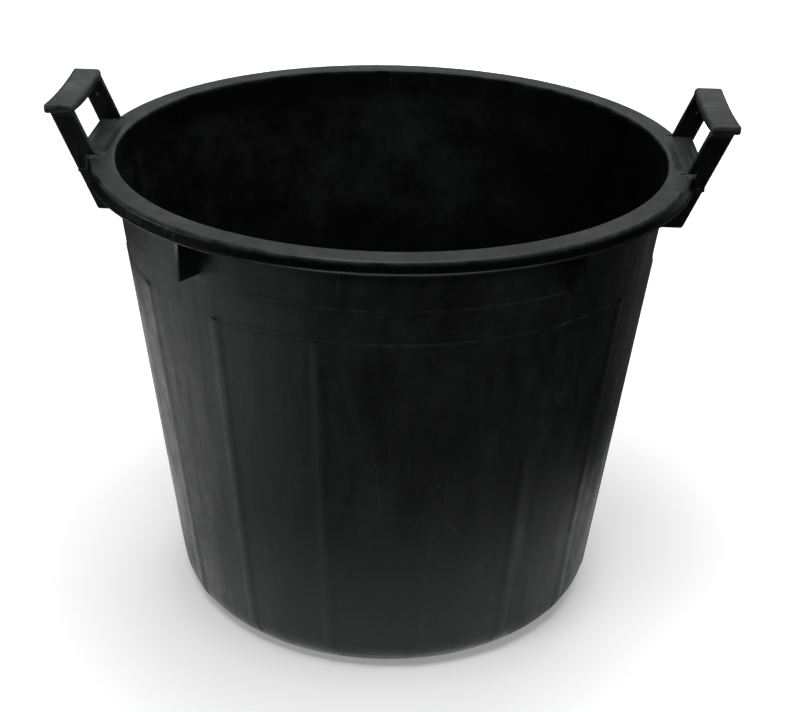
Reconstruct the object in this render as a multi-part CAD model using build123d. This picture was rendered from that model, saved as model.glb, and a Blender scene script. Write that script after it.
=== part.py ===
from build123d import *
import os
from math import atan, cos, degrees, radians, sin, sqrt, tan

# Harvest tub: one moulded shell with a flanged rim, and two snap-in carrying handles.
# Millimetres, +Z up, origin on the floor under the middle of the tub, handles along X.

# Shell
tub_height = 485.0
wall_top_radius = 281.5        # outer face of the wall, carried up to the rim's top
wall_foot_radius = 224.0       # outer face of the wall, carried down to the floor
wall_thickness = 4.5
floor_thickness = 5.0
base_corner_radius = 33.0      # outside, between wall and floor
foot_ring_width = 24.0         # flat ring that the tub stands on
base_rise = 4.0                # the floor inside the foot ring stands this much higher
base_ramp = 5.0                # width of the slope up to that raised floor

# Rim
rim_width = 18.5               # top edge of the skirt beyond the wall's outer face
skirt_flare = 3.5              # lower edge of the skirt beyond its top edge
rim_skirt_depth = 12.5
rim_thickness = 4.0
skirt_thickness = 3.0
bead_height = 1.5              # small bead along the skirt's lower edge
bead_reach = 0.6
rim_edge_radius = 3.0          # outer top edge
rim_lip_radius = 2.5           # inner top edge

# Relief on the outside of the wall
step_height = 0.5              # each of the two steps sets the wall in by this much, going up
step_run = 2.5                 # height over which it does so
upper_step_drop = 60.0         # below the rim's top
lower_step_drop = 94.0
band_count = 16
band_width = 14.0
band_side = 4.0                # width of each sloping side of a band
band_height = 0.8
band_root = 0.2                # its sides run on this much under the wall's face
band_tuck = 3.5                # a band turns in on a radius this much under the base corner's, to run out
band_turn = 55.0               # angle over which it does so

# Stop ribs under the rim, which keep nested tubs from jamming
rib_angle = 37.0               # from the tub's front and back
rib_thickness = 5.0
rib_drop = 52.0                # lower edge, below the rim's top

# Ears, the tabs on the rim that the handles straddle
ear_reach = 9.0                # beyond the rim's top radius
ear_depth = 18.0
ear_wall = 3.0
ear_corner_radius = 4.0
ear_rise = 1.2                 # raised border round the pan in the ear's top
ear_border = 2.0               # width of that border
ear_ramp = 6.0                 # length of the slope up to it from the rim's inner edge
ear_edge_chamfer = 0.5
pan_depth = 1.2                # floor of the pan below the rim's top
pan_end_run = 18.0             # length of the pan's slope towards each slot
pan_inner_run = 14.0           # towards the rim's inner edge
pan_outer_run = 3.0            # towards the ear's outer edge
ridge_width = 5.0              # foot of the sloping ridge across the rim beside each slot
ridge_height = 2.0
ridge_fade = 10.0              # length over which it rises, from the tub's side outwards
blend = 0.4                    # sloping pieces start this much below the rim's top

# Handles
grip_length = 127.0
grip_width = 28.7
grip_offset = 1.0              # its middle outside the arms' middle line
grip_height = 52.5             # top of the grip's ends above the rim's top
grip_sag = 3.0                 # the top's middle lies this much lower
grip_end_depth = 7.0           # inner flank at the ends
grip_middle_depth = 8.5        # inner flank in the middle
grip_outer_depth = 10.0        # outer flank
grip_wall = 3.0
grip_roof = 3.5
grip_flank_flat = 0.5          # flat strip left on the inner flank, under its rounded top edge
grip_outer_radius = 3.0        # long outer edges
grip_end_radius = 2.0          # round each end
grip_end_lip = 0.8             # overhang beyond the arms
groove_drop = 3.2              # fine groove across the grip's end, below its top
groove_width = 1.0
groove_depth = 0.5
arm_thickness = 4.8
arm_width = 24.0
arm_lean = 22.6                # from upright, outwards
arm_reach = 12.2               # outer edge beyond the rim's top radius, at the rim's top
arm_edge_chamfer = 0.8
foot_drop = 54.0               # lower end of the arms, below the rim's top
foot_corner_radius = 3.0
catch_depth = 1.3              # step on the arm that snaps under the skirt
catch_runout = 20.0            # height over which the pocket above that step fades
catch_reach = 1.0              # outer end of the pocket beyond the skirt
stud_diameter = 8.0            # snap stud on the arm, in a hole in the ear
stud_drop = 9.5                # stud's axis below the rim's top
stud_chamfer = 1.0
pip_diameter = 2.5             # moulding pip on the arm's inner face
pip_height = 0.5
pip_rise = 27.0                # above the rim's top
clearance = 0.3                # between the handle and the shell

# Worked-out sizes
rim_inner_radius = wall_top_radius - wall_thickness
rim_top_radius = wall_top_radius + rim_width
rim_skirt_radius = rim_top_radius + skirt_flare
wall_slope = (wall_top_radius - wall_foot_radius) / tub_height
wall_lean = degrees(atan(wall_slope))
foot_edge = base_corner_radius / tan(radians(45.0 + wall_lean / 2))
upper_wall_offset = -2 * step_height
skirt_end = tub_height - rim_skirt_depth
arm_slope = tan(radians(arm_lean))
arm_outer_face = grip_length / 2 - grip_end_lip
arm_inner_face = arm_outer_face - arm_thickness
ear_half_length = arm_inner_face - clearance
ear_outer_face = rim_top_radius + ear_reach
slot_outer_face = arm_outer_face - catch_depth + clearance
grip_inner_radius = grip_end_depth - grip_end_radius - grip_flank_flat


def wall_radius(z, offset=0.0):
    """Radius of the wall's outer face at a height, moved out by the offset."""
    return wall_foot_radius + wall_slope * z + offset


def arm_outer_edge(z):
    """Distance of the arm's outer edge from the tub's axis at a height."""
    return rim_top_radius + arm_reach + arm_slope * (z - tub_height)


def arm_middle(z):
    """Distance of the arm's middle line from the tub's axis at a height."""
    return arm_outer_edge(z) - arm_width / 2


slot_end = arm_outer_edge(tub_height - rim_thickness) - arm_width - clearance


def block(x, y, z):
    """Box between two values on each axis."""
    size = Box(x[1] - x[0], y[1] - y[0], z[1] - z[0])
    return Pos((x[0] + x[1]) / 2, (y[0] + y[1]) / 2, (z[0] + z[1]) / 2) * size


def wall_cone(offset, low, high):
    """Solid cone inside the wall's outer face, moved out by the offset, between two heights."""
    cone = Cone(wall_radius(low, offset), wall_radius(high, offset), high - low)
    return Pos(0, 0, (low + high) / 2) * cone


def turned(corners, arc=360.0):
    """Section through corners given as radius, height and rounding, turned about the tub's axis."""
    points = [(radius, height) for radius, height, rounding in corners]
    roundings = [rounding for radius, height, rounding in corners]
    section = make_face(FilletPolyline(*points, radius=roundings, close=True))
    return revolve(Plane.XZ * section, Axis.Z, arc)


def shell():
    """Wall, floor, foot ring and rim in one turned section."""
    top = tub_height
    under_rim = top - rim_thickness
    lower_step = top - lower_step_drop
    upper_step = top - upper_step_drop
    ring_inside = wall_foot_radius - foot_edge - foot_ring_width
    panel_edge = ring_inside - base_ramp
    inner_corner_radius = base_corner_radius - wall_thickness
    return turned([
        (0, base_rise, 0),
        (panel_edge, base_rise, 0),
        (ring_inside, 0, 0),
        (wall_foot_radius, 0, base_corner_radius),
        (wall_radius(lower_step), lower_step, 0),
        (wall_radius(lower_step + step_run, -step_height), lower_step + step_run, 0),
        (wall_radius(upper_step, -step_height), upper_step, 0),
        (wall_radius(upper_step + step_run, upper_wall_offset), upper_step + step_run, 0),
        (wall_radius(under_rim, upper_wall_offset), under_rim, 0),
        (rim_top_radius - skirt_thickness, under_rim, 0),
        (rim_skirt_radius - skirt_thickness, skirt_end, 0),
        (rim_skirt_radius + bead_reach, skirt_end, 0),
        (rim_skirt_radius + bead_reach, skirt_end + bead_height, 0),
        (rim_skirt_radius - bead_reach, skirt_end + bead_height + bead_reach, 0),
        (rim_top_radius, top, rim_edge_radius),
        (rim_inner_radius, top, rim_lip_radius),
        (wall_radius(floor_thickness, -wall_thickness), floor_thickness, inner_corner_radius),
        (panel_edge, floor_thickness, 0),
        (panel_edge - base_ramp, floor_thickness + base_rise, 0),
        (0, floor_thickness + base_rise, 0),
    ])


def bands():
    """Upright bands on the wall, evenly spaced, that run from the lower step into the base corner.

    Each is a thin layer over the wall, turned about the tub's axis and cut to width by two sloping sides.
    """
    high = tub_height - lower_step_drop
    root = -wall_thickness / 2
    lean = radians(wall_lean)
    bend_radius = wall_foot_radius + foot_edge * sin(lean)
    bend_height = foot_edge * cos(lean)
    down = (-sin(lean), -cos(lean))
    crown_bend = JernArc((bend_radius + band_height, bend_height), down, base_corner_radius - band_tuck, -band_turn)
    root_bend = JernArc((bend_radius + root, bend_height), down, base_corner_radius + root, -band_turn)
    crown_top = (wall_radius(high, band_height), high)
    root_top = (wall_radius(high, root), high)
    section = make_face([
        Line(crown_top, crown_bend @ 0), crown_bend, Line(crown_bend @ 1, root_bend @ 1),
        root_bend, Line(root_bend @ 0, root_top), Line(root_top, crown_top),
    ])
    spread = degrees(2 * band_width / wall_foot_radius)
    layer = Rot(0, 0, -spread / 2) * revolve(Plane.XZ * section, Axis.Z, spread)

    foot = band_width / 2
    crown = foot - band_side * (1 + band_root / (band_height + band_root))
    width = make_face(Polyline(
        (-foot, -base_corner_radius), (foot, -base_corner_radius), (foot, -band_root),
        (crown, band_height + band_root), (-crown, band_height + band_root), (-foot, -band_root), close=True,
    ))
    across = Plane((wall_radius(high), 0, high), x_dir=(0, 1, 0), z_dir=(down[0], 0, down[1]))
    band = layer & extrude(across * width, 2 * tub_height, both=True)
    pitch = 360.0 / band_count
    return [Rot(0, 0, (place + 0.5) * pitch) * band for place in range(band_count)]


def stop_ribs():
    """Four upright ribs from the wall out to the skirt, under the rim."""
    high = tub_height - rim_thickness / 2
    low = tub_height - rib_drop
    outer = rim_top_radius - skirt_thickness / 2
    half = rib_thickness / 2
    rib = block((wall_radius(low, -wall_thickness), outer), (-half, half), (low, high))
    angles = [middle + turn for middle in (90, -90) for turn in (rib_angle, -rib_angle)]
    return [Rot(0, 0, angle) * rib for angle in angles]


def ear_hollow(start):
    """Space under the ear at +X, between its cheeks, from a distance from the tub's axis outwards."""
    inside = ear_half_length - ear_wall
    heights = (tub_height - 2 * ear_depth, tub_height - rim_thickness)
    return block((start, ear_outer_face - ear_wall), (-inside, inside), heights)


def ear_solids():
    """Ear at +X before it is cut: the tab, the raised border on it and the ridge beside each slot."""
    top = tub_height
    ends = (-ear_half_length, ear_half_length)
    tab = block((wall_foot_radius, ear_outer_face), ends, (top - ear_depth, top))
    ramp = slot_end - ear_ramp
    border = make_face(Polyline(
        (ramp, top - rim_thickness / 2), (ramp, top - blend), (slot_end, top + ear_rise),
        (ear_outer_face, top + ear_rise), (ear_outer_face, top - rim_thickness / 2), close=True,
    ))
    border = extrude(Plane.XZ * border, ear_half_length, both=True)
    tab, border = [
        fillet(piece.edges().filter_by(Axis.Z).group_by(Axis.X)[-1], ear_corner_radius) for piece in (tab, border)
    ]
    tab -= ear_hollow(wall_foot_radius)
    border = chamfer(border.faces().sort_by(Axis.Z)[-1].edges(), ear_edge_chamfer)
    crest = slot_outer_face
    foot = slot_outer_face + ridge_width
    across = make_face(Polyline(
        (crest, skirt_end), (crest, top + ridge_height), (foot, top - blend), (foot, skirt_end), close=True
    ))
    full = sqrt((rim_top_radius - rim_edge_radius) ** 2 - crest ** 2)
    along = make_face(Polyline(
        (wall_foot_radius, skirt_end), (wall_foot_radius, top - blend), (full - ridge_fade, top - blend),
        (full, top + ridge_height), (ear_outer_face, top + ridge_height), (ear_outer_face, skirt_end), close=True,
    ))
    ridge = extrude(Plane.YZ.offset(wall_foot_radius) * across, ear_outer_face - wall_foot_radius)
    ridge &= extrude(Plane.XZ * along, 2 * foot, both=True)
    ridge &= Pos(0, 0, top) * Cylinder(rim_skirt_radius + 2 * bead_reach, 2 * ear_depth)
    return [tab, border, ridge, mirror(ridge, Plane.XZ)]


def ear_cuts():
    """Pan, arm slots and stud holes of the ear at +X."""
    top = tub_height
    height = pan_depth + ear_rise
    floor_inner = slot_end + ear_border
    floor_outer = ear_outer_face - ear_border - pan_outer_run
    floor_end = ear_half_length - ear_border - pan_end_run
    levels = []
    for rise in (0, 2):
        inner = floor_inner - rise * pan_inner_run
        outer = floor_outer + rise * pan_outer_run
        mouth = Rectangle(outer - inner, 2 * (floor_end + rise * pan_end_run))
        levels.append(Pos((inner + outer) / 2, 0, top - pan_depth + rise * height) * mouth)
    pan = loft(levels, ruled=True)

    slot_faces = (ear_half_length, slot_outer_face)
    slot = block((slot_end, ear_outer_face + arm_width), slot_faces, (top - 2 * ear_depth, top + ear_depth))
    hole = Cylinder(stud_diameter / 2 + clearance, 2 * (ear_wall + clearance))
    hole = Pos(arm_middle(top - stud_drop), ear_half_length, top - stud_drop) * Rot(90, 0, 0) * hole
    return pan + [slot, mirror(slot, Plane.XZ), hole, mirror(hole, Plane.XZ)]


def tub():
    """Shell with its bands, ribs and the two ears."""
    in_wall = wall_cone(-wall_thickness / 2, tub_height - rib_drop - ear_depth, tub_height + ear_depth)
    under_ear = ear_hollow(wall_top_radius + ear_wall)
    ear = [piece - in_wall for piece in ear_solids()]
    cuts = ear_cuts()
    both_ends = (0, 180)
    body = shell() - [Rot(0, 0, turn) * under_ear for turn in both_ends]
    body += bands() + [rib - in_wall for rib in stop_ribs()]
    body += [Rot(0, 0, turn) * piece for piece in ear for turn in both_ends]
    return body - [Rot(0, 0, turn) * cuts for turn in both_ends]


def grip_face(half, high, low_end, low_middle):
    """Face across the grip's length, between its sagging upper line and a curved lower line."""
    upper = ThreePointArc((-half, high), (0, high - grip_sag), (half, high))
    lower = ThreePointArc((half, low_end), (0, low_middle), (-half, low_end))
    return make_face([upper, Line(upper @ 1, lower @ 0), lower, Line(lower @ 1, upper @ 0)])


def grip():
    """Channel bar along Y: sagging top, flanks that hang from it, hollow below."""
    high = tub_height + grip_height
    half = grip_length / 2
    middle = high - grip_sag
    inner_x = arm_middle(high - grip_end_depth / 2) + grip_offset - grip_width / 2
    outer_x = inner_x + grip_width
    inner_face = grip_face(half, high, high - grip_end_depth, middle - grip_middle_depth)
    outer_face = grip_face(half, high, high - grip_outer_depth, middle - grip_outer_depth)
    bar = loft([Plane.YZ.offset(inner_x) * inner_face, Plane.YZ.offset(outer_x) * outer_face], ruled=True)
    inner_edges = bar.edges().group_by(Axis.X)[0].filter_by(GeomType.CIRCLE).sort_by(Axis.Z)
    bar = fillet(inner_edges[-1], grip_inner_radius)
    outer_edges = bar.edges().group_by(Axis.X)[-1].filter_by(GeomType.CIRCLE)
    bar = fillet(outer_edges, grip_outer_radius)
    for end in (0, -1):
        bar = fillet(bar.faces().sort_by(Axis.Y)[end].edges(), grip_end_radius)

    roof = high - grip_roof
    beyond = middle - 2 * grip_outer_depth
    hollow = grip_face(arm_inner_face, roof, beyond, beyond - grip_sag)
    bar -= extrude(Plane.YZ.offset(inner_x + grip_wall) * hollow, grip_width - 2 * grip_wall)
    groove = block(
        (inner_x + grip_inner_radius, outer_x - grip_inner_radius),
        (half - groove_depth, half + groove_depth),
        (high - groove_drop - groove_width, high - groove_drop),
    )
    return bar - [groove, mirror(groove, Plane.XZ)]


def arm():
    """Arm on the +Y side: leaning plate whose foot rests on the wall, with its catch, stud and pip."""
    top = tub_height
    high = top + grip_height - grip_roof
    low = top - foot_drop
    outline = [
        (arm_outer_edge(high), high),
        (arm_outer_edge(low), low),
        (arm_outer_edge(low) - arm_width, low),
        (arm_outer_edge(high) - arm_width, high),
    ]
    plate = make_face(FilletPolyline(*outline, radius=[0, foot_corner_radius, 0, 0], close=True))
    plate = extrude(Plane.XZ.offset(-arm_outer_face) * plate, arm_thickness)
    plate = chamfer(plate.faces().sort_by(Axis.Y)[-1].edges(), arm_edge_chamfer)
    plate -= wall_cone(upper_wall_offset + clearance, low - arm_width, top)

    catch = skirt_end - clearance
    full = top + ridge_height + clearance
    fade = full + catch_runout
    floor = arm_outer_face - catch_depth
    beyond = arm_outer_face + catch_depth
    pocket = make_face(Polyline(
        (beyond, catch), (floor, catch), (floor, full), (arm_outer_face, fade), (beyond, fade), close=True
    ))
    pocket_length = rim_skirt_radius + catch_reach - rim_inner_radius
    plate -= extrude(Plane.YZ.offset(rim_inner_radius) * pocket, pocket_length)

    bottom = (Align.CENTER, Align.CENTER, Align.MIN)
    stud = Cylinder(stud_diameter / 2, arm_thickness / 2 + clearance + ear_wall, align=bottom)
    stud = chamfer(stud.edges().group_by(Axis.Z)[-1], stud_chamfer)
    pip = Cylinder(pip_diameter / 2, arm_thickness / 2 + pip_height, align=bottom)
    middle_face = arm_inner_face + arm_thickness / 2
    for piece, z in ((stud, top - stud_drop), (pip, top + pip_rise)):
        plate += Pos(arm_middle(z), middle_face, z) * Rot(90, 0, 0) * piece
    return plate


def handle():
    """Handle at +X: grip and two arms moulded in one."""
    far_arm = arm()
    return grip() + far_arm + mirror(far_arm, Plane.XZ)


os.makedirs("parts", exist_ok=True)
handle_right = handle()
export_step(tub(), "parts/tub.step")
export_step(handle_right, "parts/handle_right.step")
export_step(Rot(0, 0, 180) * handle_right, "parts/handle_left.step")
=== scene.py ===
from math import cos, radians, sin, tan

import bpy
import numpy as np
from bpy.props import FloatProperty, FloatVectorProperty, PointerProperty
from mathutils import Matrix, Vector

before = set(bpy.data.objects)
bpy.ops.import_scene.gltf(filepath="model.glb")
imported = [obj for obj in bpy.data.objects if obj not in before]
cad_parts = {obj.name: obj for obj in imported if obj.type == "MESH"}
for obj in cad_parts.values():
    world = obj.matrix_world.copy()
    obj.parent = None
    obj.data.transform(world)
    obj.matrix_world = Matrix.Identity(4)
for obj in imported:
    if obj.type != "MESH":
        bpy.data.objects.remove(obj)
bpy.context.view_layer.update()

bl_info = {
    "name": "Harvest Tub",
    "version": (1, 0, 0),
    "blender": (4, 5, 0),
    "location": "3D View > Sidebar > Harvest Tub",
    "description": "Dresses a moulded harvest tub and its two handles, and sets up its studio",
    "category": "Object",
}

# Patterns of the plastic: scale per metre, detail and roughness of each noise
CLOUDS = (26.0, 6.0, 0.66)
MOTTLE = (70.0, 4.0, 0.6)
BRUSHING = (420.0, 4.0, 0.7)
STAINS = (22.0, 4.0, 0.6)
WEAR_AND_HIGHLIGHT_BREAKS = (46.0, 5.0, 0.65)
SCUFF_PLACES = (7.0, 2.0)
SCUFFS = (170.0, 4.0, 0.65)
DUST_AND_SHEEN = (26.0, 6.0, 0.7)
CLINGING_DUST_AND_SHEEN = (14.0, 6.0, 0.7)
SWELL = (25.0, 3.0)
GRAIN = (420.0, 3.0)
SPECK_CELLS = 150.0
SPECK_RARITY = 0.94            # share of the cells that hold no speck
DRAWN_UP = (1.0, 1.0, 0.06)    # makes a pattern long and upright, as brush marks are
RUN_DOWN = (1.0, 1.0, 0.3)     # makes one about three times taller than wide, as rain marks are

# Values of a noise between which each mask comes in or goes
MIDDLE_RANGE = (0.25, 0.75)
WIDE_RANGE = (0.2, 0.8)
PALE_RANGE = (0.32, 0.76)
MOTTLE_RANGE = (0.34, 0.66)
STAIN_RANGE = (0.56, 0.74)
BREAK_RANGE = (0.30, 0.68)
SCUFF_PLACE_RANGE = (0.42, 0.62)
SCUFF_RANGE = (0.58, 0.74)
SPECK_RANGE = (0.06, 0.16)
DUST_AND_SHEEN_RANGE = (0.30, 0.70)
CLINGING_DUST_AND_SHEEN_RANGE = (0.34, 0.68)

# How pale the plastic stays where each pattern darkens it most, and how strong the dust and painted sheen
# stay where they are thinnest
BRUSHED_PALENESS = 0.75
MOTTLED_PALENESS = 0.5
STAINED_PALENESS = 0.45
THIN_DUST_AND_SHEEN = 0.45

# How much each kind of rubbing shows the worn colour, which also paints the highlights and the sheen
WORN_AND_HIGHLIGHT_SHARE = 0.5
SCUFF_SHARE = 0.2
SPECK_SHARE = 0.5
DUST_AND_SHEEN_SHARE = 0.35

# Roughness of the clouds, and what the other patterns add to it or take off
CLOUD_ROUGHNESS = (0.38, 0.54)
BRUSHED_ROUGHNESS = 0.025
MOTTLED_ROUGHNESS = 0.05
RUBBED_AND_PAINTED_LIGHT_ROUGHNESS = 0.2
POLISHED_SMOOTHNESS = 0.12

# Strength and depth in metres of each relief in the surface
WAVE_RELIEF = (0.8, 0.002)
GRAIN_RELIEF = (0.2, 0.0008)
SCRATCH_RELIEF = (0.2, 0.0004)
BEVEL_SAMPLES = 4

# Fade of each mask in metres, from one distance past a mark to another
# A comment names the mark for its own line and for the lines after it
OUTER_FACE = (-0.003, -0.002)       # past the wall's outer face
INNER_FACE = (-0.003, -0.004)
WORN_TOP = (-0.006, -0.002)         # past the rim's top
TOP_SURFACE = (-0.005, -0.003)
SKIRT_TOP = (-0.0015, -0.0035)
LIP_END = (-0.02, -0.042)
DUSTY_ARM = (0.03, 0.0)
HANDLED_EDGE = (-0.004, 0.0)        # past the rim's outer edge
EAR_FACE = (0.0065, 0.0055)
SKIRT_END = (-0.026, -0.002)        # past the bead
EAR_START = (-0.003, 0.004)         # past the pans' inner ends
PAN_START = (-0.006, 0.004)
PAN_END = (0.0, -0.004)             # past the pans' long ends
PIP_FACE = (0.001, 0.0)             # past the arms' inner faces
ARM_TOP = (0.0, -0.002)             # past the grip's underside
SHADED_ARM_TOP = (0.0, -0.004)
GRIP_EDGES = (-0.003, 0.0)
GRIP_ENDS = (0.004, 0.006)
SMOOTH_GRIP = (0.0, 0.006)

# Distance in metres over which the wear on each edge fades, and the painted highlight on the rim's top
# edges, the ears' ridges, the bead and the grip's ends
RIM_OUTSIDE_FADE = 0.0028
RIM_INSIDE_FADE = 0.0024
RIDGE_FADE = 0.003
STEP_FADE = 0.0022
BEAD_FADE = 0.0014
HANDLE_FADE = 0.0022
GRIP_END_FADE = 0.0016

# Other distances in metres
GRIP_END_INSET = 0.001         # of the painted highlights on the grip's end edges from the grip's ends
BEAD_CLEARANCE = 0.004         # the skirt is less polished this near to the bead
WARP_CLEARANCE = 0.002         # the wall's waves start this far below the bead
CLINGING_DUST_AND_SHEEN_HEIGHTS = (0.24, 0.36)
CLINGING_DUST_AND_SHEEN_SIDE = 0.24           # the dust and painted sheen inside have gone by this distance to the right of the axis

# Strength of the wear on each edge, which on the rim's top edges, the ears' ridges and the bead is also a
# painted highlight, and on the grip's ends is a painted highlight
RIM_WEAR_AND_HIGHLIGHT = 1.2
RIDGE_WEAR_AND_HIGHLIGHT = 2.0
STEP_WEAR = 0.45
BEAD_WEAR_AND_HIGHLIGHT = 0.4
FOOT_WEAR = 0.7
WORN_FOOT = 0.3                # part of the base corner's height that is worn the most
HANDLE_WEAR_AND_HIGHLIGHT = 1.7
PIP_WEAR = 3.0
GRIP_END_HIGHLIGHT = 2.4

# Strength of the other masks
CLINGING_DUST_AND_SHEEN_STRENGTH = 0.65
ARM_DUST = 0.15
TOP_POLISH = 0.5               # polish of the rim's top, where its outer edge has 1
SKIRT_POLISH = 1.4
SKIRT_GRAIN = 0.1              # share of the grain that is left on the skirt
GRIP_WARP = 0.4

# Stage
STAGE_REACH = 30.0             # half the floor's width, and the outer edge of the large cards
CARD_HEIGHT = 0.004
CARD_STEPS = 49
CARD_COLOUR = (0.02, 0.02, 0.02, 1.0)
WHITE = (1.0, 1.0, 1.0, 1.0)
WORLD_SHADE = (0.02, 0.02, 0.02, 1.0)
FLOOR_STEPS = 3
SENSOR_WIDTH = 36.0            # millimetres

# Floor's glow and its shade under the tub: from one radius to another, and the strength at each
FAR_GLOW = (0.8, 4.5, 0.4, 1.12)
NEAR_SHADE = (0.2, 0.27, 0.75, 1.0)

# Each card's name, inner and outer radius, start and end angle in degrees from the right towards the back,
# and light
CARDS = (
    ("right_dark_card", (0.376, STAGE_REACH), (-120, 24), 0.0),
    ("back_right_grey_card", (0.44, STAGE_REACH), (24, 66), 0.14),
    ("back_white_card", (0.28, 0.62), (66, 104), 0.9),
    ("back_dark_card", (0.64, STAGE_REACH), (66, 104), 0.0),
    ("left_dark_card", (0.86, STAGE_REACH), (104, 240), 0.0),
    ("left_white_card", (0.28, 0.84), (105, 193), 1.2),
    ("front_left_grey_card", (0.37, 0.54), (207, 240), 0.3),
    ("front_white_card", (0.2, 0.31), (197, 310), 1.1),
)

# Each light's name, place, target, width and height, power in watts and colour,
# and whether mirror reflections show it
PLAIN_LIGHT = (1.0, 1.0, 1.0)
LIGHTS = (
    ("left_softbox", (-1.5, -0.2, 0.085), (0.0, 0.0, 0.085), (0.82, 0.13), 4.5, PLAIN_LIGHT, True),
    ("back_softbox", (0.4, 3.2, 2.05), (0.0, 0.0, 0.4), (4.2, 1.7), 21, (0.94, 1.0, 0.955), True),
    ("back_low_softbox", (0.5, 2.6, 0.7), (0.0, 0.0, 0.25), (1.8, 0.6), 26, PLAIN_LIGHT, False),
    ("right_low_softbox", (2.4, 0.6, 0.6), (0.0, 0.0, 0.25), (1.2, 0.4), 5, PLAIN_LIGHT, False),
    ("top_softbox", (0.1, -0.1, 3.0), (0.0, -0.1, 0.0), (2.0, 2.0), 62, PLAIN_LIGHT, True),
    ("front_strip", (-0.5, -1.3, 2.6), (-0.1, -0.3, 0.4), (1.2, 0.3), 20, PLAIN_LIGHT, True),
)


class PlasticSettings(bpy.types.PropertyGroup):
    """Finish of the black moulded plastic."""

    colour: FloatVectorProperty(
        name="Colour", description="Colour of clean plastic",
        subtype="COLOR", size=3, min=0.0, max=1.0, default=(0.0032, 0.0039, 0.0035),
    )
    # Painted shade: this colour darkens the tub's inside, its skirt and the wall below it, and the arms
    # below the grip
    painted_shade_colour: FloatVectorProperty(
        name="Painted shade colour", description="Colour of the painted shade",
        subtype="COLOR", size=3, min=0.0, max=1.0, default=(0.0007, 0.0009, 0.0008),
    )
    pale_colour: FloatVectorProperty(
        name="Pale colour", description="Colour where the plastic has gone pale",
        subtype="COLOR", size=3, min=0.0, max=1.0, default=(0.0115, 0.0134, 0.0123),
    )
    # The worn colour also paints the highlights on edges and the sheen in the ears' pans and inside the
    # tub
    worn_and_highlight_colour: FloatVectorProperty(
        name="Worn and highlight colour", description="Colour of rubbed edges, scuffs, specks and dust",
        subtype="COLOR", size=3, min=0.0, max=1.0, default=(0.062, 0.066, 0.065),
    )
    gloss_colour: FloatVectorProperty(
        name="Reflection colour", description="Tint of the mirror reflection",
        subtype="COLOR", size=3, min=0.0, max=1.0, default=(0.89, 1.0, 0.93),
    )
    edge_softness: FloatProperty(
        name="Edge softness", description="Radius over which the moulded edges look rounded",
        unit="LENGTH", default=0.0015,
    )
    band_softness: FloatProperty(
        name="Band softness", description="Radius over which the wall's bands and steps look rounded",
        unit="LENGTH", default=0.009,
    )
    gloss: FloatProperty(
        name="Reflection", description="Strength of the mirror reflection",
        subtype="FACTOR", min=0.0, max=1.0, default=0.23,
    )


class TubMarks(bpy.types.PropertyGroup):
    """Places on the tub where the plastic is rubbed, dusty, sheltered or smooth, or carries painted
    highlights, painted sheen or painted shade.
    """

    rim_top: FloatProperty(
        name="Rim top", description="Height of the rim's top",
        unit="LENGTH", default=0.485,
    )
    rim_outside: FloatProperty(
        name="Rim outside", description="Radius of the rim's outer top edge",
        unit="LENGTH", default=0.2992,
    )
    rim_inside: FloatProperty(
        name="Rim inside", description="Radius of the rim's inner top edge",
        unit="LENGTH", default=0.2778,
    )
    pan_start: FloatProperty(
        name="Pan start", description="Distance of the pans' inner ends from the tub's axis, across it",
        unit="LENGTH", default=0.285,
    )
    pan_end: FloatProperty(
        name="Pan end", description="Distance of the pans' long ends from their middle",
        unit="LENGTH", default=0.0565,
    )
    ridge_crest: FloatProperty(
        name="Ridge crest", description="Distance of the ears' ridges from the ears' middle",
        unit="LENGTH", default=0.0613,
    )
    bead: FloatProperty(
        name="Bead", description="Height of the skirt's lower bead",
        unit="LENGTH", default=0.4733,
    )
    upper_step: FloatProperty(
        name="Upper step", description="Height of the wall's upper step",
        unit="LENGTH", default=0.4262,
    )
    lower_step: FloatProperty(
        name="Lower step", description="Height of the wall's lower step",
        unit="LENGTH", default=0.3922,
    )
    foot: FloatProperty(
        name="Foot", description="Height of the scuffed base corner",
        unit="LENGTH", default=0.035,
    )
    wall_foot: FloatProperty(
        name="Wall foot", description="Radius of the wall's outside, carried down to the floor",
        unit="LENGTH", default=0.224,
    )
    wall_top: FloatProperty(
        name="Wall top", description="Radius of the wall's outside, carried up to the rim's top",
        unit="LENGTH", default=0.2815,
    )


class HandleMarks(bpy.types.PropertyGroup):
    """Places on the handles where the plastic is rubbed, dusty or smooth, or carries painted highlights or
    painted shade.
    """

    arm_outside: FloatProperty(
        name="Arm outside",
        description="Distance of the arm's outer edge from the tub's axis, at the rim's top",
        unit="LENGTH", default=0.3122,
    )
    arm_width: FloatProperty(
        name="Arm width", description="Width of the arm",
        unit="LENGTH", default=0.024,
    )
    arm_inside: FloatProperty(
        name="Arm inside", description="Distance of the arms' inner faces from the grip's middle",
        unit="LENGTH", default=0.0575,
    )
    pip_rise: FloatProperty(
        name="Pip rise", description="Height of the arms' pips above the rim's top",
        unit="LENGTH", default=0.027,
    )
    arm_lean: FloatProperty(
        name="Arm lean", description="Lean of the arm, from upright",
        subtype="ANGLE", default=radians(22.6),
    )
    grip_inside: FloatProperty(
        name="Grip inside", description="Distance of the grip's inner flank from the tub's axis",
        unit="LENGTH", default=0.3073,
    )
    grip_width: FloatProperty(
        name="Grip width", description="Width of the grip",
        unit="LENGTH", default=0.0287,
    )
    grip_half_length: FloatProperty(
        name="Grip end", description="Distance of the grip's ends from its middle",
        unit="LENGTH", default=0.0635,
    )
    grip_under: FloatProperty(
        name="Grip underside", description="Height of the flanks' lower edges",
        unit="LENGTH", default=0.5275,
    )


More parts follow.
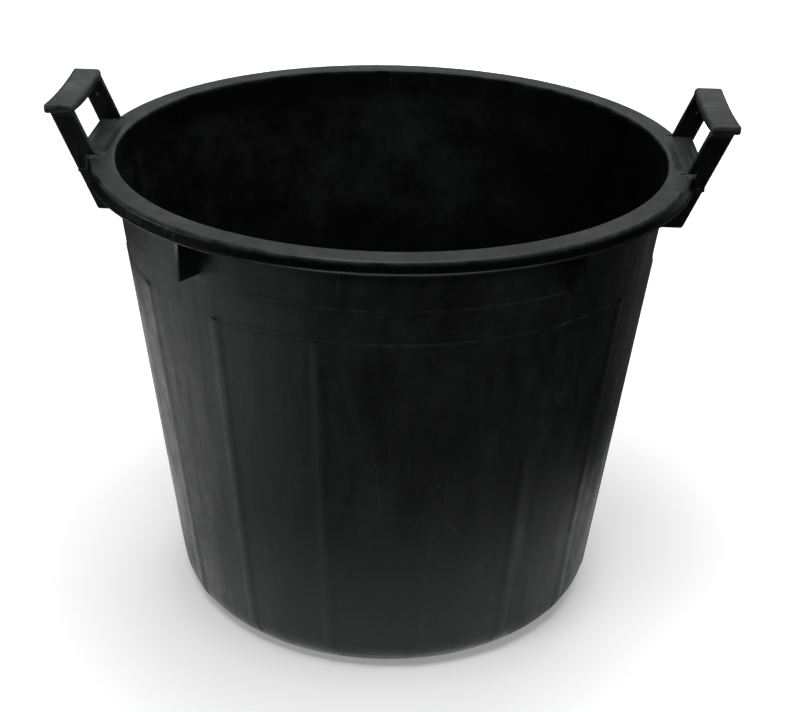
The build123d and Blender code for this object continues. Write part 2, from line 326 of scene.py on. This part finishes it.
class StageSettings(bpy.types.PropertyGroup):
    """Floor and camera of the studio."""

    floor_colour: FloatVectorProperty(
        name="Floor", description="Colour of the pale floor",
        subtype="COLOR", size=3, min=0.0, max=1.0, default=(0.9, 0.9, 0.9),
    )
    camera_place: FloatVectorProperty(
        name="Camera", description="Place of the camera",
        subtype="TRANSLATION", unit="LENGTH", size=3, default=(0.0587, -1.4706, 0.9812),
    )
    camera_target: FloatVectorProperty(
        name="Target", description="Point that the camera looks at",
        subtype="TRANSLATION", unit="LENGTH", size=3, default=(0.01245, 0.00039, 0.2477),
    )
    camera_roll: FloatProperty(
        name="Roll", description="Turn of the camera about its own axis",
        subtype="ANGLE", default=radians(1.28),
    )
    camera_lens: FloatProperty(
        name="Lens", description="Focal length on a 36 mm sensor, in millimetres",
        default=68.4,
    )


def add(tree, kind, sockets, **settings):
    """New shader node: settings are its own properties, and each socket gets a constant or a link."""
    node = tree.nodes.new("ShaderNode" + kind)
    for name, value in settings.items():
        setattr(node, name, value)
    for name, value in sockets.items():
        if isinstance(value, bpy.types.NodeSocket):
            tree.links.new(value, node.inputs[name])
        else:
            node.inputs[name].default_value = value
    return node


def maths(tree, operation, first, second=0.0):
    """Result of one operation on two numbers."""
    return add(tree, "Math", {0: first, 1: second}, operation=operation).outputs["Value"]


def vectors(tree, operation, first, second=(0.0, 0.0, 0.0)):
    """Node for one operation on two vectors."""
    return add(tree, "VectorMath", {0: first, 1: second}, operation=operation)


def change(tree, value, low, high, start=0.0, end=1.0, kind="SMOOTHSTEP"):
    """Smooth or linear change from start to end while the value goes from low to high."""
    sockets = {"Value": value, "From Min": low, "From Max": high, "To Min": start, "To Max": end}
    return add(tree, "MapRange", sockets, interpolation_type=kind).outputs["Result"]


def fade(tree, value, mark, distances, start=0.0, end=1.0):
    """Smooth change from start to end while the value goes from one distance past a mark to another."""
    low, high = distances
    return change(tree, value, mark + low, mark + high, start, end)


def stripe(tree, value, place, reach):
    """1 where the value is at the place, fading to 0 within the reach on both sides."""
    distance = maths(tree, "ABSOLUTE", maths(tree, "SUBTRACT", value, place))
    return change(tree, distance, 0.0, reach, 1.0, 0.0)


def strongest(tree, first, *others):
    """Largest of several masks."""
    result = first
    for other in others:
        result = maths(tree, "MAXIMUM", result, other)
    return result


def product(tree, first, *others):
    """Several masks or numbers multiplied together."""
    result = first
    for other in others:
        result = maths(tree, "MULTIPLY", result, other)
    return result


def noise(tree, vector, scale, detail=3.0, roughness=0.55):
    """Noise pattern from 0 to 1 on a vector."""
    sockets = {"Vector": vector, "Scale": scale, "Detail": detail, "Roughness": roughness}
    return add(tree, "TexNoise", sockets).outputs["Fac"]


def blend(tree, factor, first, second):
    """Colour between two colours."""
    node = add(tree, "Mix", {"Factor": factor}, data_type="RGBA")
    for name, value in (("A", first), ("B", second)):
        socket = next(item for item in node.inputs if item.name == name and item.type == "RGBA")
        if isinstance(value, bpy.types.NodeSocket):
            tree.links.new(value, socket)
        else:
            socket.default_value = (*value, 1.0)
    return next(item for item in node.outputs if item.type == "RGBA")


def relief(tree, pattern, strength, depth, normal):
    """Normal of a surface that a pattern raises by up to the depth."""
    sockets = {"Height": pattern, "Strength": strength, "Distance": depth, "Normal": normal}
    return add(tree, "Bump", sockets).outputs["Normal"]


def moulded_plastic(name, wear_and_highlights, dust_and_sheen, painted_shade, polish, warp):
    """Black moulded plastic, cloudy, brushed and grained, with specks, stains, scuffs, dust and wear, and
    with painted highlights, painted sheen and painted shade.

    wear_and_highlights, dust_and_sheen, painted_shade, polish and warp are functions of the node tree and
    the position.
    They give the masks of rubbed edges and painted highlights, of dust and painted sheen, of painted
    shade, of polished places, and of places that wave a little and whose edges look softer.
    """
    settings = bpy.context.scene.harvest_plastic
    material = bpy.data.materials.new(name)
    material.use_nodes = True
    tree = material.node_tree
    position = add(tree, "TexCoord", {}).outputs["Object"]
    drawn_up = vectors(tree, "MULTIPLY", position, DRAWN_UP).outputs["Vector"]
    run_down = vectors(tree, "MULTIPLY", position, RUN_DOWN).outputs["Vector"]

    clouds = noise(tree, run_down, *CLOUDS)
    patches = change(tree, clouds, *PALE_RANGE)
    mottle = noise(tree, position, *MOTTLE)
    brushing = noise(tree, drawn_up, *BRUSHING)
    stains = change(tree, noise(tree, run_down, *STAINS), *STAIN_RANGE)
    # The wear mask also holds the painted highlights on edges
    wear_and_highlight_breaks = change(tree, noise(tree, position, *WEAR_AND_HIGHLIGHT_BREAKS), *BREAK_RANGE)
    worn_and_highlit = product(tree, wear_and_highlights(tree, position), wear_and_highlight_breaks)
    scuff_places = change(tree, noise(tree, position, *SCUFF_PLACES), *SCUFF_PLACE_RANGE)
    scuffs = change(tree, noise(tree, drawn_up, *SCUFFS), *SCUFF_RANGE)
    scuffs = product(tree, scuffs, scuff_places)
    cells = add(tree, "TexVoronoi", {"Vector": position, "Scale": SPECK_CELLS}, feature="F1")
    dots = change(tree, cells.outputs["Distance"], *SPECK_RANGE, 1.0, 0.0)
    chosen = add(tree, "SeparateColor", {"Color": cells.outputs["Color"]}).outputs["Red"]
    specks = product(tree, dots, maths(tree, "GREATER_THAN", chosen, SPECK_RARITY))
    # The dust mask also holds the painted sheen in the ears' pans and inside the tub
    dust_and_sheen_marks = change(tree, noise(tree, position, *DUST_AND_SHEEN), *DUST_AND_SHEEN_RANGE, THIN_DUST_AND_SHEEN, 1.0)
    dust_and_sheen_marks = product(tree, dust_and_sheen_marks, dust_and_sheen(tree, position))

    pale = product(
        tree, patches,
        change(tree, brushing, *MIDDLE_RANGE, BRUSHED_PALENESS, 1.0),
        change(tree, mottle, *MOTTLE_RANGE, MOTTLED_PALENESS, 1.0),
        change(tree, stains, 0.0, 1.0, 1.0, STAINED_PALENESS),
    )
    colour = blend(tree, pale, settings.colour, settings.pale_colour)
    # Painted shade: the shade colour where the painted-shade mask is
    colour = blend(tree, painted_shade(tree, position), colour, settings.painted_shade_colour)
    rubbed_and_painted_light = strongest(
        tree, product(tree, worn_and_highlit, WORN_AND_HIGHLIGHT_SHARE), product(tree, scuffs, SCUFF_SHARE),
        product(tree, specks, SPECK_SHARE), product(tree, dust_and_sheen_marks, DUST_AND_SHEEN_SHARE),
    )
    # The worn colour paints wear, scuffs, specks and dust, and also painted highlights and painted sheen
    colour = blend(tree, rubbed_and_painted_light, colour, settings.worn_and_highlight_colour)

    rough = change(tree, clouds, *MIDDLE_RANGE, *CLOUD_ROUGHNESS)
    brushed = change(tree, brushing, *WIDE_RANGE, -BRUSHED_ROUGHNESS, BRUSHED_ROUGHNESS)
    rough = maths(tree, "ADD", rough, brushed)
    mottled = change(tree, mottle, *MIDDLE_RANGE, -MOTTLED_ROUGHNESS, MOTTLED_ROUGHNESS)
    rough = maths(tree, "ADD", rough, mottled)
    rough = maths(tree, "ADD", rough, product(tree, rubbed_and_painted_light, RUBBED_AND_PAINTED_LIGHT_ROUGHNESS))
    polished = polish(tree, position)
    rough = maths(tree, "SUBTRACT", rough, product(tree, polished, POLISHED_SMOOTHNESS))

    warped = warp(tree, position)
    soft_radius = change(tree, warped, 0.0, 1.0, settings.edge_softness, settings.band_softness)
    normal = add(tree, "Bevel", {"Radius": soft_radius}, samples=BEVEL_SAMPLES).outputs["Normal"]
    swell = product(tree, noise(tree, drawn_up, *SWELL), warped)
    normal = relief(tree, swell, *WAVE_RELIEF, normal)
    grain_left = change(tree, polished, 1.0, SKIRT_POLISH, 1.0, SKIRT_GRAIN)
    grain = product(tree, noise(tree, position, *GRAIN), grain_left)
    normal = relief(tree, grain, *GRAIN_RELIEF, normal)
    normal = relief(tree, scuffs, *SCRATCH_RELIEF, normal)

    shader = tree.nodes["Principled BSDF"]
    tree.links.new(colour, shader.inputs["Base Color"])
    tree.links.new(rough, shader.inputs["Roughness"])
    tree.links.new(normal, shader.inputs["Normal"])
    shader.inputs["Specular IOR Level"].default_value = settings.gloss
    shader.inputs["Specular Tint"].default_value = (*settings.gloss_colour, 1.0)
    return material


def axis_distance(tree, position):
    """Distance from the tub's axis."""
    flat = vectors(tree, "MULTIPLY", position, (1.0, 1.0, 0.0)).outputs["Vector"]
    return vectors(tree, "LENGTH", flat).outputs["Value"]


def height(tree, position):
    """Height above the floor."""
    return add(tree, "SeparateXYZ", {"Vector": position}).outputs["Z"]


def either_side(tree, position):
    """Distance out to the left or right, distance to the front or back, and height, all positive."""
    folded = vectors(tree, "ABSOLUTE", position).outputs["Vector"]
    return add(tree, "SeparateXYZ", {"Vector": folded}).outputs


def beyond_wall(tree, position):
    """Distance out from the wall's outer face, level with it."""
    marks = bpy.context.scene.harvest_tub_marks
    level = height(tree, position)
    wall = change(tree, level, 0.0, marks.rim_top, marks.wall_foot, marks.wall_top, "LINEAR")
    return maths(tree, "SUBTRACT", axis_distance(tree, position), wall)


def tub_outside(tree, position):
    """The tub's outside."""
    return change(tree, beyond_wall(tree, position), *OUTER_FACE)


def tub_inside(tree, position):
    """The tub's inside."""
    return change(tree, beyond_wall(tree, position), *INNER_FACE)


def tub_wear_and_highlights(tree, position):
    """Rubbed edges of the tub: the rim's top edges, the ears' ridges, the bead, the steps and the base.
    The rim's top edges, the ridges and the bead also carry a painted highlight.
    """
    marks = bpy.context.scene.harvest_tub_marks
    radius = axis_distance(tree, position)
    out, along, level = either_side(tree, position)
    on_ears = fade(tree, out, marks.pan_start, EAR_START, 0.0, RIDGE_WEAR_AND_HIGHLIGHT)
    # Wear on the rim's top edges and the ears' ridges, and a painted highlight along them
    top_edge_wear_and_highlights = strongest(
        tree,
        stripe(tree, radius, marks.rim_outside, RIM_OUTSIDE_FADE),
        stripe(tree, radius, marks.rim_inside, RIM_INSIDE_FADE),
        product(tree, stripe(tree, along, marks.ridge_crest, RIDGE_FADE), on_ears),
    )
    near_top = fade(tree, level, marks.rim_top, WORN_TOP)
    bead = stripe(tree, level, marks.bead, BEAD_FADE)
    steps = strongest(
        tree,
        stripe(tree, level, marks.upper_step, STEP_FADE),
        stripe(tree, level, marks.lower_step, STEP_FADE),
    )
    base = change(tree, level, marks.foot, WORN_FOOT * marks.foot, 0.0, FOOT_WEAR)
    ring_wear_and_highlights = strongest(tree, product(tree, bead, BEAD_WEAR_AND_HIGHLIGHT), product(tree, steps, STEP_WEAR), base)
    top_edge_wear_and_highlights = product(tree, top_edge_wear_and_highlights, near_top, RIM_WEAR_AND_HIGHLIGHT)
    return strongest(tree, top_edge_wear_and_highlights, product(tree, ring_wear_and_highlights, tub_outside(tree, position)))


def under_rim(tree, position):
    """The skirt, and the wall just below it."""
    marks = bpy.context.scene.harvest_tub_marks
    level = height(tree, position)
    return product(
        tree,
        fade(tree, level, marks.bead, SKIRT_END),
        fade(tree, level, marks.rim_top, SKIRT_TOP),
        tub_outside(tree, position),
    )


def tub_painted_shade(tree, position):
    """Painted shade: the tub's inside, the skirt and the wall just below it, darkened where shade falls.
    """
    return strongest(tree, tub_inside(tree, position), under_rim(tree, position))


def tub_dust_and_sheen(tree, position):
    """The ears' pans and the upper inside, less to the right: dust, and painted sheen that lightens them.
    """
    marks = bpy.context.scene.harvest_tub_marks
    out, along, level = either_side(tree, position)
    # Dust in the ears' pans, and painted sheen that lightens them
    pans = product(
        tree,
        fade(tree, out, marks.pan_start, PAN_START),
        fade(tree, along, marks.pan_end, PAN_END),
        fade(tree, level, marks.rim_top, TOP_SURFACE),
    )
    side = add(tree, "SeparateXYZ", {"Vector": position}).outputs["X"]
    # Dust on the upper inside, and painted sheen there that fades out to the right
    clinging_dust_and_sheen = product(
        tree,
        fade(tree, level, marks.rim_top, LIP_END),
        change(tree, level, *CLINGING_DUST_AND_SHEEN_HEIGHTS, 0.0, CLINGING_DUST_AND_SHEEN_STRENGTH),
        change(tree, side, CLINGING_DUST_AND_SHEEN_SIDE, 0.0),
        change(tree, noise(tree, position, *CLINGING_DUST_AND_SHEEN), *CLINGING_DUST_AND_SHEEN_RANGE),
        tub_inside(tree, position),
    )
    return strongest(tree, pans, clinging_dust_and_sheen)


def tub_polish(tree, position):
    """The rim's top and outer edge, which hands keep smooth, and most of all the sheltered skirt."""
    marks = bpy.context.scene.harvest_tub_marks
    radius = axis_distance(tree, position)
    level = height(tree, position)
    top = fade(tree, level, marks.rim_top, TOP_SURFACE)
    edge = fade(tree, radius, marks.rim_outside, HANDLED_EDGE, TOP_POLISH, 1.0)
    off_bead = maths(tree, "SUBTRACT", SKIRT_POLISH, stripe(tree, level, marks.bead, BEAD_CLEARANCE))
    off_ears = fade(tree, radius, marks.rim_outside, EAR_FACE)
    sheltered = product(tree, under_rim(tree, position), off_bead, off_ears)
    return strongest(tree, product(tree, top, edge), sheltered)


def tub_warp(tree, position):
    """The wall's outside below the skirt, which cooled unevenly."""
    marks = bpy.context.scene.harvest_tub_marks
    below = change(tree, height(tree, position), marks.bead - WARP_CLEARANCE, marks.upper_step)
    return product(tree, below, tub_outside(tree, position))


def handle_wear_and_highlights(tree, position):
    """Rubbed edges of a handle: its leaning arms' edges and pips and the grip's long edges, and a painted
    highlight along the grip's end edges.
    """
    marks = bpy.context.scene.harvest_handle_marks
    rim_top = bpy.context.scene.harvest_tub_marks.rim_top
    out, across, level = either_side(tree, position)
    lean = product(tree, maths(tree, "SUBTRACT", level, rim_top), tan(marks.arm_lean))
    leaning = maths(tree, "SUBTRACT", out, lean)
    pips = product(
        tree,
        stripe(tree, leaning, marks.arm_outside - marks.arm_width / 2, HANDLE_FADE),
        stripe(tree, level, rim_top + marks.pip_rise, HANDLE_FADE),
        fade(tree, across, marks.arm_inside, PIP_FACE, 0.0, PIP_WEAR),
    )
    arm_edges = strongest(
        tree,
        stripe(tree, leaning, marks.arm_outside, HANDLE_FADE),
        stripe(tree, leaning, marks.arm_outside - marks.arm_width, HANDLE_FADE),
        pips,
    )
    below_grip = fade(tree, level, marks.grip_under, ARM_TOP)
    # Painted highlight along the grip's end edges
    end_edge_highlights = product(
        tree,
        stripe(tree, across, marks.grip_half_length - GRIP_END_INSET, GRIP_END_FADE),
        fade(tree, level, marks.grip_under, GRIP_ENDS, 0.0, GRIP_END_HIGHLIGHT),
    )
    grip_edges = strongest(
        tree,
        stripe(tree, out, marks.grip_inside, HANDLE_FADE),
        stripe(tree, out, marks.grip_inside + marks.grip_width, HANDLE_FADE),
        end_edge_highlights,
    )
    on_grip = fade(tree, level, marks.grip_under, GRIP_EDGES)
    edges = strongest(tree, product(tree, arm_edges, below_grip), product(tree, grip_edges, on_grip))
    return product(tree, edges, HANDLE_WEAR_AND_HIGHLIGHT)


def handle_dust(tree, position):
    """The arms' lower parts, a little."""
    rim_top = bpy.context.scene.harvest_tub_marks.rim_top
    return fade(tree, height(tree, position), rim_top, DUSTY_ARM, 0.0, ARM_DUST)


def handle_painted_shade(tree, position):
    """Painted shade: the arms below the grip, darker than the grip."""
    marks = bpy.context.scene.harvest_handle_marks
    return fade(tree, height(tree, position), marks.grip_under, SHADED_ARM_TOP)


def handle_polish(tree, position):
    """The grip, which hands keep smooth."""
    marks = bpy.context.scene.harvest_handle_marks
    return fade(tree, height(tree, position), marks.grip_under, SMOOTH_GRIP)


def handle_warp(tree, position):
    """The grip, which cooled a little unevenly."""
    return product(tree, handle_polish(tree, position), GRIP_WARP)


class HARVEST_OT_tub(bpy.types.Operator):
    """Give the tub its plastic"""

    bl_idname = "harvest.tub"
    bl_label = "Tub"

    def execute(self, context):
        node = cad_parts["tub"]
        node.data.materials.clear()
        finish = moulded_plastic("tub_black_plastic", tub_wear_and_highlights, tub_dust_and_sheen, tub_painted_shade, tub_polish, tub_warp)
        node.data.materials.append(finish)
        return {"FINISHED"}


class HARVEST_OT_handles(bpy.types.Operator):
    """Give both handles their plastic"""

    bl_idname = "harvest.handles"
    bl_label = "Handles"

    def execute(self, context):
        finish = moulded_plastic(
            "handle_black_plastic", handle_wear_and_highlights, handle_dust, handle_painted_shade, handle_polish, handle_warp,
        )
        for name in ("handle_left", "handle_right"):
            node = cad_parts[name]
            node.data.materials.clear()
            node.data.materials.append(finish)
        return {"FINISHED"}


def grid_piece(name, points):
    """Piece with a four-cornered face between each four neighbours in a grid of points."""
    rows, columns = points.shape[:2]
    index = np.arange(rows * columns).reshape(rows, columns)
    corners = (index[:-1, :-1], index[:-1, 1:], index[1:, 1:], index[1:, :-1])
    faces = np.stack(corners, axis=-1).reshape(-1, 4)
    mesh = bpy.data.meshes.new(name)
    mesh.from_pydata(points.reshape(-1, 3).tolist(), [], faces.tolist())
    piece = bpy.data.objects.new(name, mesh)
    bpy.context.scene.collection.objects.link(piece)
    return piece


def stage_paint(piece, colour, roughness, gloss, glow_colour):
    """Give a piece of the stage its plain paint, and return the paint's material and shader."""
    material = bpy.data.materials.new(piece.name + "_paint")
    material.use_nodes = True
    shader = material.node_tree.nodes["Principled BSDF"]
    shader.inputs["Base Color"].default_value = colour
    shader.inputs["Roughness"].default_value = roughness
    shader.inputs["Specular IOR Level"].default_value = gloss
    shader.inputs["Emission Color"].default_value = glow_colour
    piece.data.materials.append(material)
    return material, shader


def studio_floor(colour):
    """Flat pale floor, a square grid in x and y at z = 0, glowing more far out and less under the tub."""
    places = np.linspace(-STAGE_REACH, STAGE_REACH, FLOOR_STEPS)
    x, y = np.meshgrid(places, places)
    floor = grid_piece("floor", np.stack([x, y, np.zeros_like(x)], axis=-1))
    paint = (*colour, 1.0)
    material, shader = stage_paint(floor, paint, roughness=0.9, gloss=0.1, glow_colour=paint)
    tree = material.node_tree
    radius = axis_distance(tree, add(tree, "TexCoord", {}).outputs["Object"])
    glow = product(tree, change(tree, radius, *FAR_GLOW), change(tree, radius, *NEAR_SHADE))
    tree.links.new(glow, shader.inputs["Emission Strength"])


def reflection_card(name, radii, angles, light):
    """Card flat on the floor that only mirror reflections see: black, or lit from within.

    It is a sector of a ring: x = r cos a and y = r sin a over two radii r and a run of angles a.
    """
    radius, angle = np.meshgrid(np.array(radii), np.radians(np.linspace(*angles, CARD_STEPS)))
    level = np.full_like(radius, CARD_HEIGHT)
    points = np.stack([radius * np.cos(angle), radius * np.sin(angle), level], axis=-1)
    card = grid_piece(name, points)
    shader = stage_paint(card, CARD_COLOUR, roughness=1.0, gloss=0.0, glow_colour=WHITE)[1]
    shader.inputs["Emission Strength"].default_value = light
    card.visible_camera = False
    card.visible_diffuse = False
    card.visible_shadow = False


def studio_world():
    """World that is white to the camera and nearly black to everything else."""
    world = bpy.data.worlds.new("studio")
    world.use_nodes = True
    nodes = world.node_tree.nodes
    links = world.node_tree.links
    shade = nodes["Background"]
    shade.inputs["Color"].default_value = WORLD_SHADE
    seen = nodes.new("ShaderNodeBackground")
    seen.inputs["Color"].default_value = WHITE
    path = nodes.new("ShaderNodeLightPath")
    mix = nodes.new("ShaderNodeMixShader")
    links.new(path.outputs["Is Camera Ray"], mix.inputs["Fac"])
    links.new(shade.outputs["Background"], mix.inputs[1])
    links.new(seen.outputs["Background"], mix.inputs[2])
    links.new(mix.outputs["Shader"], nodes["World Output"].inputs["Surface"])
    return world


def area_light(name, place, target, size, power, colour, mirrored):
    """Soft rectangular light that faces a point, and that mirror reflections show or don't show."""
    data = bpy.data.lights.new(name, "AREA")
    data.shape = "RECTANGLE"
    data.size, data.size_y = size
    data.energy = power
    data.color = colour
    light = bpy.data.objects.new(name, data)
    light.location = place
    light.rotation_euler = (Vector(target) - Vector(place)).to_track_quat("-Z", "Y").to_euler()
    light.visible_camera = False
    light.visible_glossy = mirrored
    bpy.context.scene.collection.objects.link(light)


def studio_camera(settings):
    """Camera that looks at its target and is rolled about its own axis."""
    place = Vector(settings.camera_place)
    forward = (Vector(settings.camera_target) - place).normalized()
    level_right = forward.cross(Vector((0, 0, 1))).normalized()
    level_up = level_right.cross(forward)
    roll = settings.camera_roll
    right = cos(roll) * level_right + sin(roll) * level_up
    up = cos(roll) * level_up - sin(roll) * level_right
    turn = Matrix((right, up, -forward)).transposed()
    data = bpy.data.cameras.new("camera")
    data.lens = settings.camera_lens
    data.sensor_width = SENSOR_WIDTH
    camera = bpy.data.objects.new("camera", data)
    camera.matrix_world = Matrix.Translation(place) @ turn.to_4x4()
    bpy.context.scene.collection.objects.link(camera)
    return camera


class HARVEST_OT_stage(bpy.types.Operator):
    """Set up the floor, the cards, the lights and the camera"""

    bl_idname = "harvest.stage"
    bl_label = "Stage"

    def execute(self, context):
        scene = context.scene
        studio_floor(scene.harvest_stage.floor_colour)
        for card in CARDS:
            reflection_card(*card)
        scene.world = studio_world()
        for light in LIGHTS:
            area_light(*light)
        scene.camera = studio_camera(scene.harvest_stage)
        scene.view_settings.view_transform = "Standard"
        return {"FINISHED"}


class HARVEST_PT_panel(bpy.types.Panel):
    """Pieces of the harvest tub and their settings"""

    bl_idname = "HARVEST_PT_panel"
    bl_label = "Harvest Tub"
    bl_space_type = "VIEW_3D"
    bl_region_type = "UI"
    bl_category = "Harvest Tub"

    def draw(self, context):
        layout = self.layout
        scene = context.scene
        groups = (
            (HARVEST_OT_tub, scene.harvest_tub_marks),
            (HARVEST_OT_handles, scene.harvest_handle_marks),
            (HARVEST_OT_stage, scene.harvest_stage),
        )
        for name in PlasticSettings.__annotations__:
            layout.prop(scene.harvest_plastic, name)
        for operator, settings in groups:
            layout.operator(operator.bl_idname)
            for name in settings.__annotations__:
                layout.prop(settings, name)


CLASSES = (
    PlasticSettings, TubMarks, HandleMarks, StageSettings,
    HARVEST_OT_tub, HARVEST_OT_handles, HARVEST_OT_stage, HARVEST_PT_panel,
)


def register():
    for item in CLASSES:
        bpy.utils.register_class(item)
    bpy.types.Scene.harvest_plastic = PointerProperty(type=PlasticSettings)
    bpy.types.Scene.harvest_tub_marks = PointerProperty(type=TubMarks)
    bpy.types.Scene.harvest_handle_marks = PointerProperty(type=HandleMarks)
    bpy.types.Scene.harvest_stage = PointerProperty(type=StageSettings)


def unregister():
    del bpy.types.Scene.harvest_stage
    del bpy.types.Scene.harvest_handle_marks
    del bpy.types.Scene.harvest_tub_marks
    del bpy.types.Scene.harvest_plastic
    for item in reversed(CLASSES):
        bpy.utils.unregister_class(item)


def main():
    register()
    bpy.ops.harvest.tub()
    bpy.ops.harvest.handles()
    bpy.ops.harvest.stage()


if __name__ == "__main__":
    main()
